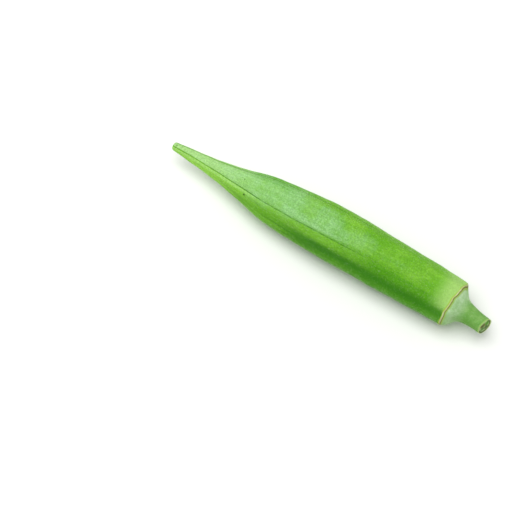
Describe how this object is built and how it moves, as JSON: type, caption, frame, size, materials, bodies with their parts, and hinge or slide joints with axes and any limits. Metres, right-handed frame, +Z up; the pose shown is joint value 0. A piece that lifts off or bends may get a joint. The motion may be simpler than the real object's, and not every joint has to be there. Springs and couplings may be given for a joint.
{
  "type": "okra pod",
  "caption": "Whole green okra pod lying on its side, five-ridged capsule with a slim beak, a calyx scar ring, a rounded cap and a short cut stalk.",
  "frame": {"origin": "middle of the pod's footprint, on the surface that it lies on", "axes": "+X along the pod from the beak to the cut stalk, +Z up, -Y the side that faces the picture's camera"},
  "size_m": [0.1324, 0.0206, 0.0196],
  "materials": {
    "pod_skin": "fresh green pod skin, satin, with pale waxy blotches and a dark seam line on each ridge; grey-green waxy cap and stalk, dry cream calyx scar, damp pale cut face",
    "down": "short pale hairs, soft and slightly translucent"
  },
  "bodies": {
    "root": {"okra_pod": "pod_skin"}
  },
  "joints": []
}
